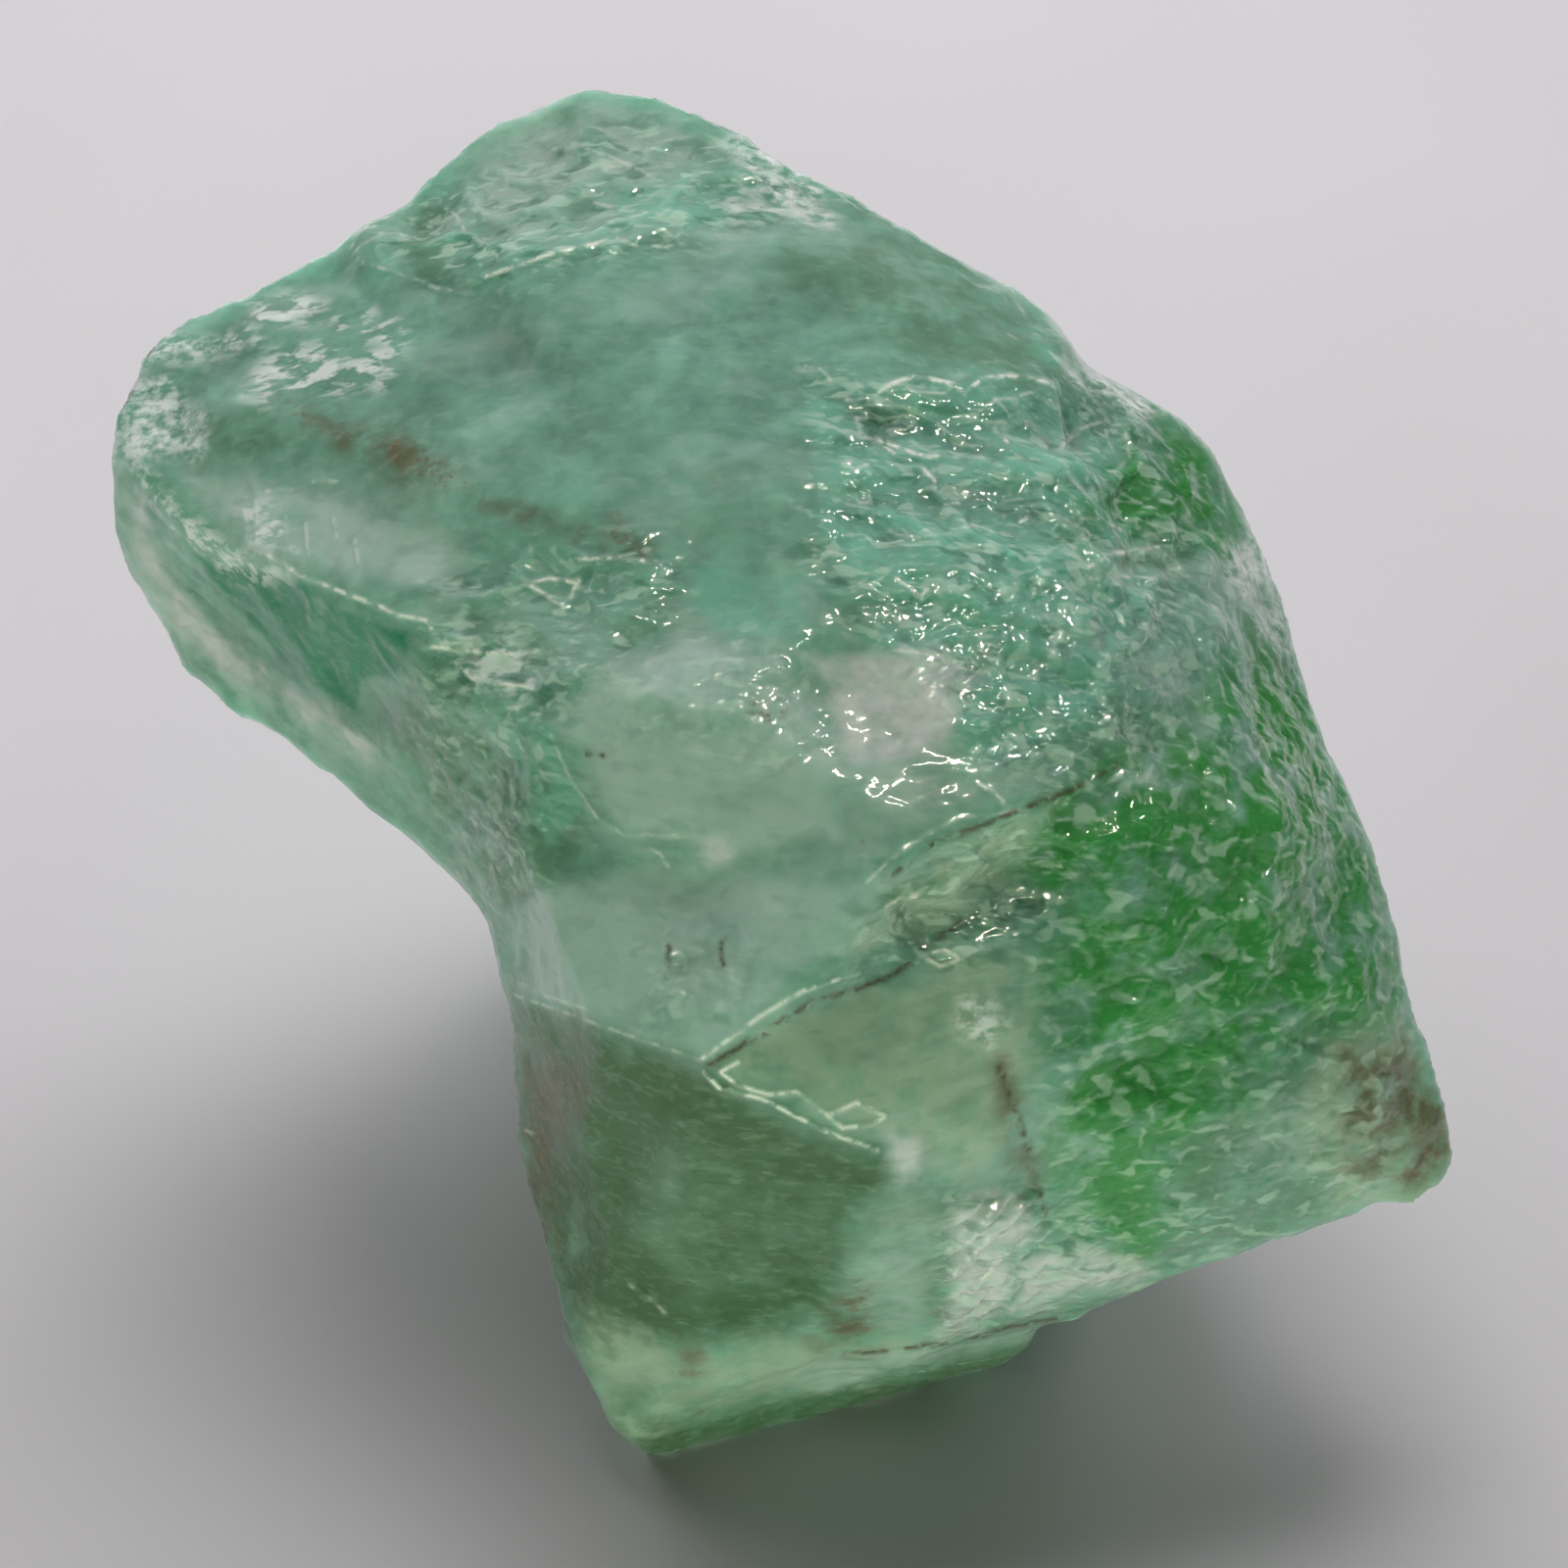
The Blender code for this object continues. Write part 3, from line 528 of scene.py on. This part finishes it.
def with_modifier(mesh, kind, weights=None, **settings):
    """Returns the mesh after one modifier."""
    holder = bpy.data.objects.new("holder", mesh)
    bpy.context.collection.objects.link(holder)
    modifier = holder.modifiers.new(kind.lower(), kind)
    for name, value in settings.items():
        setattr(modifier, name, value)
    if weights is not None:
        group = holder.vertex_groups.new(name="weights")
        for step in range(11):
            chosen = np.flatnonzero(np.round(weights * 10) == step)
            group.add(chosen.tolist(), step / 10, "REPLACE")
        modifier.vertex_group = "weights"
    evaluated = holder.evaluated_get(bpy.context.evaluated_depsgraph_get())
    result = bpy.data.meshes.new_from_object(evaluated)
    bpy.data.objects.remove(holder)
    return result


def fine_mesh(settings):
    """The frame's stone with its split vertices joined and an even fine grain."""
    whole = bmesh.new()
    whole.from_mesh(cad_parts["calcite_stone"].data)
    bmesh.ops.remove_doubles(whole, verts=whole.verts, dist=0.001 * MM)
    mesh = bpy.data.meshes.new("calcite_blank")
    whole.to_mesh(mesh)
    whole.free()
    return with_modifier(mesh, "REMESH", mode="VOXEL", voxel_size=settings.grain)


def crest_share(skin, wide):
    """How strong the named crests are at each vertex, for crests of the given width in mm."""
    share = np.zeros(len(skin.across))
    for name, path in CRESTS.items():
        strength, spread = (1.0, 1.1) if name in BRIGHT else (0.45, 0.9)
        gap = skin.gap_to(path) * PIXEL / (wide * spread)
        share = np.maximum(share, strength * np.exp(-gap ** 2))
    return share * skin.seen


def crest_gap(skin):
    """Distance from each vertex to the nearest named crest, in mm."""
    return np.min([skin.gap_to(path) for path in CRESTS.values()], axis=0) * PIXEL


def refined(mesh):
    """Splits the mesh finer beside the crests, which are thinner than its grain."""
    skin = Skin(mesh)
    near = (crest_gap(skin) < CREST_REACH) & (skin.seen > 0.5)
    fine = bmesh.new()
    fine.from_mesh(mesh)
    fine.verts.ensure_lookup_table()
    edges = [edge for edge in fine.edges if near[edge.verts[0].index] and near[edge.verts[1].index]]
    bmesh.ops.subdivide_edges(fine, edges=edges, cuts=1, use_grid_fill=True)
    bmesh.ops.triangulate(fine, faces=fine.faces)
    fine.to_mesh(mesh)
    fine.free()


def rounded(mesh, passes):
    """Smooths the facets away, and leaves the foot where it is."""
    soft = bmesh.new()
    soft.from_mesh(mesh)
    loose = [vert for vert in soft.verts if vert.co.z > FOOT_HEIGHT * MM]
    for _ in range(passes):
        bmesh.ops.smooth_vert(soft, verts=loose, factor=0.5, use_axis_x=True, use_axis_y=True,
                              use_axis_z=True)
    soft.to_mesh(mesh)
    soft.free()


def etched_height(skin, settings):
    """How far each vertex is moved outwards, in mm: swells, pits, pebbles, crests and cleavage."""
    at = skin.at
    ragged = 0.5 * cloud(at, 2.0, 3.0)
    pits = np.maximum(skin.share_of(AREAS["pit"], 1.2, ragged) * skin.seen, 0.25)
    pebbles = np.maximum(skin.share_of(AREAS["pebble"], 1.5, ragged) * skin.seen, 0.3)
    warped = at + 0.9 * np.stack([cloud(at, 2.6, seed) for seed in (11.0, 17.0, 23.0)], axis=1)
    height = 0.10 * cloud(at, 4.5, 5.0) + 0.03 * cloud(warped, 1.6, 9.0)
    loops = np.abs(cloud(warped * LONG_WAY, 2.4, 31.0))
    height += pits * settings.pit_depth / MM * (0.5 - ramp(loops, 0.0, 0.3))
    knobs = np.abs(cloud(warped, 1.0, 47.0))
    height += 0.10 * pebbles * (ramp(knobs, 0.0, 0.3) - 0.5)
    height += settings.crest_height / MM * crest_share(skin, CREST_WIDTH)
    for outline, way, pitch, rise in STEPS.values():
        way = math.radians(way)
        along = (skin.across * math.cos(way) + skin.down * math.sin(way)) * PIXEL / pitch
        along += 0.5 * ragged
        share = skin.share_of({"": outline}, 0.5, 0.5 * ragged) * skin.seen
        height += share * rise * ((along % 1.0) - 0.5)
    return height * ramp(at[:, 2], 0.4, 2.5)


def put(mesh, at):
    """Moves the vertices to the given places in mm, kept inside the CAD box."""
    low, high = (np.array(corner) / MM for corner in CAD_BOX)
    mesh.vertices.foreach_set("co", (np.clip(at, low, high) * MM).ravel())
    mesh.update()


def carved(mesh, settings):
    """Moves the vertices by the etched height."""
    skin = Skin(mesh)
    put(mesh, skin.at + skin.normal * etched_height(skin, settings)[:, None])


def stain(mesh):
    """Stores, vertex by vertex, how much of each colour zone the stone has there, painted shade and
    painted light among them, and its painted glints and dark lines.
    """
    skin = Skin(mesh)
    at = skin.at
    ragged = 0.4 * cloud(at, 2.2, 61.0) + 0.3 * cloud(at, 0.7, 67.0)
    for zone, outlines in AREAS.items():
        soft, patch, seed, low, high, most = ZONES[zone]
        painted = skin.share_of(outlines, soft, ragged * min(1.6, soft * 2.0))
        guessed = most * ramp(cloud(at, patch, seed), low, high)
        share = painted * skin.seen + guessed * (1.0 - skin.seen)
        mesh.attributes.new(zone, "FLOAT", "POINT").data.foreach_set("value", share)
    seam_gap = np.min([skin.gap_to(path) for path in SEAMS.values()], axis=0) * PIXEL
    # The crest share stored here is painted white in the material, as painted glints along the crests
    for name, share in (("crest", crest_share(skin, GLINT_PAINT_WIDTH)),
                        ("seam", skin.seen * np.exp(-(seam_gap / SEAM_WIDTH) ** 2))):
        mesh.attributes.new(name, "FLOAT", "POINT").data.foreach_set("value", share)


def add(tree, kind, inputs=None, **settings):
    """Adds a node: settings go on the node, inputs on its sockets, as values or as links."""
    made = tree.nodes.new(kind)
    for name, value in settings.items():
        setattr(made, name, value)
    for socket, value in (inputs or {}).items():
        if isinstance(value, bpy.types.NodeSocket):
            tree.links.new(value, made.inputs[socket])
        else:
            made.inputs[socket].default_value = value
    return made


# Each layer of the calcite: zone, strength, size of its breaks in mm, their stretch, low and high
# cut
LAYERS = (
    ("milk", 0.40, 4.0, (0.5, 1, 1), 0.5, 0.68),
    ("murk", 0.45, 6.0, (0.7, 1, 1), 0.52, 0.7),
    ("olive_and_painted_shade", 0.95, 3.0, (1, 1, 0.4), 0.12, 0.42),
    ("dusky_and_painted_shade", 0.75, 3.0, (1, 1, 1), 0.32, 0.56),
    ("grey", 0.72, 2.6, (1, 1, 1), 0.28, 0.55),
    ("sage_and_painted_light", 0.85, 1.8, (1, 1, 1), 0.2, 0.55),
    ("pale", 0.7, 4.0, (1, 1, 1), 0.25, 0.5),
    ("deep", 0.95, 3.0, (1, 1, 1), 0.15, 0.4),
    ("clear", 0.6, 2.0, (1, 1, 1), 0.35, 0.5),
    ("vivid", 0.95, 2.4, (1, 1, 1), 0.3, 0.52),
    ("brown", 0.85, 1.8, (1, 1, 1), 0.32, 0.56),
    ("streak", 0.85, 0.7, (0.3, 1, 1), 0.47, 0.57),
    ("veil", 0.88, 1.2, (0.7, 1, 1), 0.12, 0.62),
    ("frost", 0.85, 0.55, (0.7, 1, 1), 0.40, 0.6),
    ("rust", 0.6, 0.35, (0.8, 1, 1), 0.5, 0.62),
)

# Flecks: zone, their share elsewhere, size in mm, stretch, low and high cut, strength, depth of
# dents, colour
FLECKS = (
    ("pit", 0.3, 0.34, (0.45, 1, 1), 0.57, 0.7, 0.32, 0.0, MILKY_FLECK),
    ("pit", 0.3, 0.9, (0.5, 1, 1), 0.43, 0.34, 0.5, 0.0, DARK_FLECK),
    ("pit", 0.12, 0.6, (0.45, 1, 1), 0.57, 0.65, 0.55, 0.9, MILKY_FLECK),
    ("pebble", 0.08, 0.75, (0.6, 1, 1), 0.55, 0.66, 0.45, 0.55, MILKY_FLECK),
)


def acid_washed_calcite(settings):
    """Milky translucent calcite: light wanders in it, the acid wash gives a wet, sharp gloss, and some
    glints, light and shade are painted into its colour.
    """
    material = bpy.data.materials.new("acid-washed green calcite")
    material.use_nodes = True
    tree = material.node_tree
    shader = tree.nodes["Principled BSDF"]
    place = add(tree, "ShaderNodeTexCoord").outputs["Object"]

    # Milky clouds in the body, some 9 mm and some 1.6 mm wide
    broad = add(tree, "ShaderNodeTexNoise", {"Vector": place, "Scale": 1 / (9 * MM), "Detail": 4.0,
                                             "Roughness": 0.6, "Distortion": 0.6})
    shade = add(tree, "ShaderNodeMapRange", {"Value": broad.outputs["Fac"], "From Min": 0.3,
                                             "From Max": 0.72, "To Min": 0.82, "To Max": 1.12})
    small = add(tree, "ShaderNodeTexNoise", {"Vector": place, "Scale": 1 / (1.6 * MM),
                                             "Detail": 2.0, "Roughness": 0.65,
                                             "Distortion": 0.4})
    small = add(tree, "ShaderNodeMapRange", {"Value": small.outputs["Fac"], "From Min": 0.3,
                                             "From Max": 0.7, "To Min": 0.85, "To Max": 1.15})
    shade = add(tree, "ShaderNodeMath", {0: shade.outputs[0], 1: small.outputs[0]},
                operation="MULTIPLY")
    colour = add(tree, "ShaderNodeVectorMath", {0: linear(settings.body)[:3],
                                                "Scale": shade.outputs[0]}, operation="SCALE")
    paint = colour.outputs[0]

    named = {"streak": settings.frost, "veil": CLEAVED_WHITE, "milk": settings.pale,
             "murk": settings.dusky_and_painted_shade}
    # The olive and dusky layers are partly painted shade, on the shaded front wall and in hollows; the
    # pale and sage layers are partly painted light on the front faces
    for zone, strength, size, stretch, low, high in LAYERS:
        share = 1.0
        if zone in AREAS:
            share = add(tree, "ShaderNodeAttribute", attribute_name=zone).outputs["Fac"]
        spot = add(tree, "ShaderNodeMapping", {"Vector": place, "Scale": stretch}).outputs[0]
        breaks = add(tree, "ShaderNodeTexNoise", {"Vector": spot, "Scale": 1 / (size * MM),
                                                  "Detail": 3.0, "Roughness": 0.6}).outputs["Fac"]
        cut = add(tree, "ShaderNodeMapRange", {"Value": breaks, "From Min": low, "From Max": high,
                                               "To Max": strength}).outputs[0]
        factor = add(tree, "ShaderNodeMath", {0: share, 1: cut}, operation="MULTIPLY").outputs[0]
        tone = linear(named.get(zone) or getattr(settings, zone))
        paint = add(tree, "ShaderNodeMix", {0: factor, 6: paint, 7: tone},
                    data_type="RGBA").outputs[2]

    # Milky and dark flecks, up to about 2 mm long, where the face is pitted or pebbly
    rough_share = None
    for zone, floor_share, size, stretch, low, high, strength, depth, tone in FLECKS:
        share = add(tree, "ShaderNodeAttribute", attribute_name=zone).outputs["Fac"]
        share = add(tree, "ShaderNodeMapRange", {"Value": share, "To Min": floor_share}).outputs[0]
        spot = add(tree, "ShaderNodeMapping", {"Vector": place, "Scale": stretch}).outputs[0]
        flecks = add(tree, "ShaderNodeTexNoise", {"Vector": spot, "Scale": 1 / (size * MM),
                                                  "Detail": 1.5,
                                                  "Distortion": 0.5}).outputs["Fac"]
        flecks = add(tree, "ShaderNodeMapRange", {"Value": flecks, "From Min": low, "From Max": high,
                                                  "To Max": strength}).outputs[0]
        factor = add(tree, "ShaderNodeMath", {0: flecks, 1: share}, operation="MULTIPLY").outputs[0]
        paint = add(tree, "ShaderNodeMix", {0: factor, 6: paint, 7: linear(tone)},
                    data_type="RGBA").outputs[2]
        share = add(tree, "ShaderNodeMath", {0: share, 1: depth}, operation="MULTIPLY").outputs[0]
        rough_share = share if rough_share is None else add(
            tree, "ShaderNodeMath", {0: share, 1: rough_share}, operation="MAXIMUM").outputs[0]

    # Painted glints: the crests are painted white as painted highlights, broken into dashes by noise
    crest = add(tree, "ShaderNodeAttribute", attribute_name="crest").outputs["Fac"]
    line_breaks = add(tree, "ShaderNodeTexNoise", {"Vector": place, "Scale": 1 / (0.7 * MM),
                                            "Detail": 2.0}).outputs["Fac"]
    line_breaks = add(tree, "ShaderNodeMapRange", {"Value": line_breaks, "From Min": 0.44, "From Max": 0.56,
                                            "To Min": 0.12, "To Max": 1.0}).outputs[0]
    crest = add(tree, "ShaderNodeMath", {0: crest, 1: line_breaks}, operation="MULTIPLY").outputs[0]
    paint = add(tree, "ShaderNodeMix", {0: crest, 6: paint, 7: linear(GLINT_WHITE)},
                data_type="RGBA").outputs[2]
    # Dark hairlines: cracks, inclusions and stains, and painted shade in the creases under the lip and
    # behind the ledge
    seam = add(tree, "ShaderNodeAttribute", attribute_name="seam").outputs["Fac"]
    seam = add(tree, "ShaderNodeMath", {0: seam, 1: line_breaks}, operation="MULTIPLY").outputs[0]
    paint = add(tree, "ShaderNodeMix", {0: seam, 6: paint, 7: linear(SEAM_AND_CREASE_SHADE)},
                data_type="RGBA").outputs[2]
    tree.links.new(paint, shader.inputs["Base Color"])

    # Etching: rounded dents about a mm wide where the face is pitted, and a faint one all over
    spot = add(tree, "ShaderNodeMapping", {"Vector": place, "Scale": (0.6, 1, 1)}).outputs[0]
    dents = add(tree, "ShaderNodeTexNoise", {"Vector": spot, "Scale": 1 / (1.0 * MM), "Detail": 1.2,
                                             "Roughness": 0.4, "Distortion": 1.0}).outputs["Fac"]
    dents = add(tree, "ShaderNodeMath", {0: dents, 1: rough_share}, operation="MULTIPLY").outputs[0]
    bump = add(tree, "ShaderNodeBump", {"Height": dents, "Strength": 1.0, "Distance": 0.4 * MM})
    tree.links.new(bump.outputs[0], shader.inputs["Normal"])
    tree.links.new(bump.outputs[0], shader.inputs["Coat Normal"])
    for socket, value in {
        "Roughness": 0.32, "IOR": 1.5, "Specular IOR Level": 0.15, "Subsurface Weight": 0.8,
        "Subsurface Scale": settings.glow, "Subsurface Radius": (0.6, 1.0, 0.8),
        "Coat Weight": 1.0, "Coat Roughness": 0.05, "Coat IOR": 1.5,
    }.items():
        shader.inputs[socket].default_value = value
    return material


def matte_card(colour):
    """Plain matte card for the floor, which takes the soft shadow."""
    material = bpy.data.materials.new("matte card")
    material.use_nodes = True
    tree = material.node_tree
    shader = tree.nodes["Principled BSDF"]
    place = add(tree, "ShaderNodeTexCoord").outputs["Object"]
    grain = add(tree, "ShaderNodeTexNoise", {"Vector": place, "Scale": 1 / (60 * MM)}).outputs["Fac"]
    tone = add(tree, "ShaderNodeMix", {0: grain, 6: linear(colour), 7: linear(CARD_LIGHT)},
               data_type="RGBA").outputs[2]
    tree.links.new(tone, shader.inputs["Base Color"])
    shader.inputs["Roughness"].default_value = 0.6
    shader.inputs["Specular IOR Level"].default_value = 0.3
    return material


class CALCITE_OT_stone(bpy.types.Operator):
    """Makes the finely etched stone that stands for the CAD one."""

    bl_idname = "calcite.stone"
    bl_label = "Make the stone"

    def execute(self, context):
        settings = context.scene.calcite_stone
        mesh = fine_mesh(settings)
        rounded(mesh, 5)
        refined(mesh)
        carved(mesh, settings)
        share = settings.triangles / len(mesh.polygons)
        if share < 1.0:
            skin = Skin(mesh)
            weights = 1.0 - skin.seen * (0.85 + 0.15 * (crest_gap(skin) < 0.5))
            mesh = with_modifier(mesh, "DECIMATE", weights, ratio=share, vertex_group_factor=1.0)
            put(mesh, Skin(mesh).at)
        stain(mesh)
        mesh.name = "etched_stone"
        mesh.shade_smooth()
        mesh.materials.clear()
        mesh.materials.append(acid_washed_calcite(settings))
        stone = bpy.data.objects.new("etched_stone", mesh)
        context.collection.objects.link(stone)
        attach(stone, "root")
        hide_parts("calcite_stone")
        return {"FINISHED"}


class CALCITE_OT_stage(bpy.types.Operator):
    """Makes the floor, the lights and the camera."""

    bl_idname = "calcite.stage"
    bl_label = "Make the stage"

    def execute(self, context):
        settings = context.scene.calcite_stage
        aim = AIM * MM
        sheet = bmesh.new()
        bmesh.ops.create_grid(sheet, x_segments=4, y_segments=4, size=1.5)
        mesh = bpy.data.meshes.new("floor")
        sheet.to_mesh(mesh)
        sheet.free()
        mesh.materials.append(matte_card(settings.floor))
        floor = bpy.data.objects.new("floor", mesh)
        context.collection.objects.link(floor)

        # Sizes and places in metres. The narrow glint lights are seen in the gloss alone, so
        # that they draw small sparks, and the wide ones light the stone without a white glare.
        for name, power, wide, high, spot, colour in (
            ("soft light", settings.soft_power, 0.30, 0.20, (0.0, 0.26, 0.425), "#FFFCFD"),
            ("left light", 1.5 * settings.side_power, 0.30, 0.20, (-0.27, 0.28, 0.32), "#FFFCFD"),
            ("right light", 1.1 * settings.side_power, 0.30, 0.20, (0.27, 0.28, 0.32), "#FFFCFD"),
            ("fill light", settings.fill_power, 0.30, 0.016, (0.0, -0.42, 0.010), "#E8F8E0"),
            ("glint light", settings.glint_power, 0.11, 0.014, (0.05, -0.13, 0.44), "#FFF4DC"),
            ("glint light right", 0.8 * settings.glint_power, 0.09, 0.014, (0.24, -0.02, 0.42),
             "#FFFAF0"),
        ):
            lamp = bpy.data.lights.new(name, "AREA")
            lamp.shape = "RECTANGLE"
            lamp.size = wide
            lamp.size_y = high
            lamp.energy = power
            lamp.color = linear(colour)[:3]
            light = bpy.data.objects.new(name, lamp)
            light.location = spot
            light.rotation_euler = (aim - light.location).to_track_quat("-Z", "Y").to_euler()
            light.visible_glossy = "glint" in name
            light.visible_diffuse = "glint" not in name
            context.collection.objects.link(light)

        world = bpy.data.worlds.new("air")
        world.use_nodes = True
        tree = world.node_tree
        air = tree.nodes["Background"]
        air.inputs["Color"].default_value = linear("#F4F6FA")
        way = add(tree, "ShaderNodeTexCoord").outputs["Generated"]
        lean = add(tree, "ShaderNodeVectorMath", {0: way, 1: SKY_WAY}, operation="DOT_PRODUCT")
        glow = add(tree, "ShaderNodeMapRange", {
            "Value": lean.outputs["Value"], "From Min": 0.2, "From Max": 1.0,
            "To Min": settings.air, "To Max": settings.sky}, interpolation_type="SMOOTHSTEP")
        tree.links.new(glow.outputs[0], air.inputs["Strength"])
        context.scene.world = world
        context.scene.view_settings.view_transform = "Standard"

        lens = bpy.data.cameras.new("camera")
        lens.sensor_width = 36.0
        lens.lens = lens.sensor_width * REACH / PHOTO_WIDE
        lens.clip_start = 10 * MM
        lens.clip_end = 10.0
        camera = bpy.data.objects.new("camera", lens)
        camera.location = aim + OUT_WAY * REACH * MM
        camera.rotation_euler = (math.pi / 2 - RISE, 0.0, 0.0)
        context.collection.objects.link(camera)
        context.scene.camera = camera
        return {"FINISHED"}


class CALCITE_PT_panel(bpy.types.Panel):
    """Lists the steps and their settings."""

    bl_idname = "CALCITE_PT_panel"
    bl_label = "Rough green calcite"
    bl_space_type = "VIEW_3D"
    bl_region_type = "UI"
    bl_category = "Calcite"

    def draw(self, context):
        for step, settings in (("calcite.stone", context.scene.calcite_stone),
                               ("calcite.stage", context.scene.calcite_stage)):
            self.layout.operator(step)
            for name in settings.__annotations__:
                self.layout.prop(settings, name)


CLASSES = (StoneSettings, StageSettings, CALCITE_OT_stone, CALCITE_OT_stage, CALCITE_PT_panel)


def register():
    for made in CLASSES:
        bpy.utils.register_class(made)
    bpy.types.Scene.calcite_stone = bpy.props.PointerProperty(type=StoneSettings)
    bpy.types.Scene.calcite_stage = bpy.props.PointerProperty(type=StageSettings)


def unregister():
    del bpy.types.Scene.calcite_stage
    del bpy.types.Scene.calcite_stone
    for made in reversed(CLASSES):
        bpy.utils.unregister_class(made)


def main():
    register()
    bpy.ops.calcite.stone()
    bpy.ops.calcite.stage()


if __name__ == "__main__":
    main()
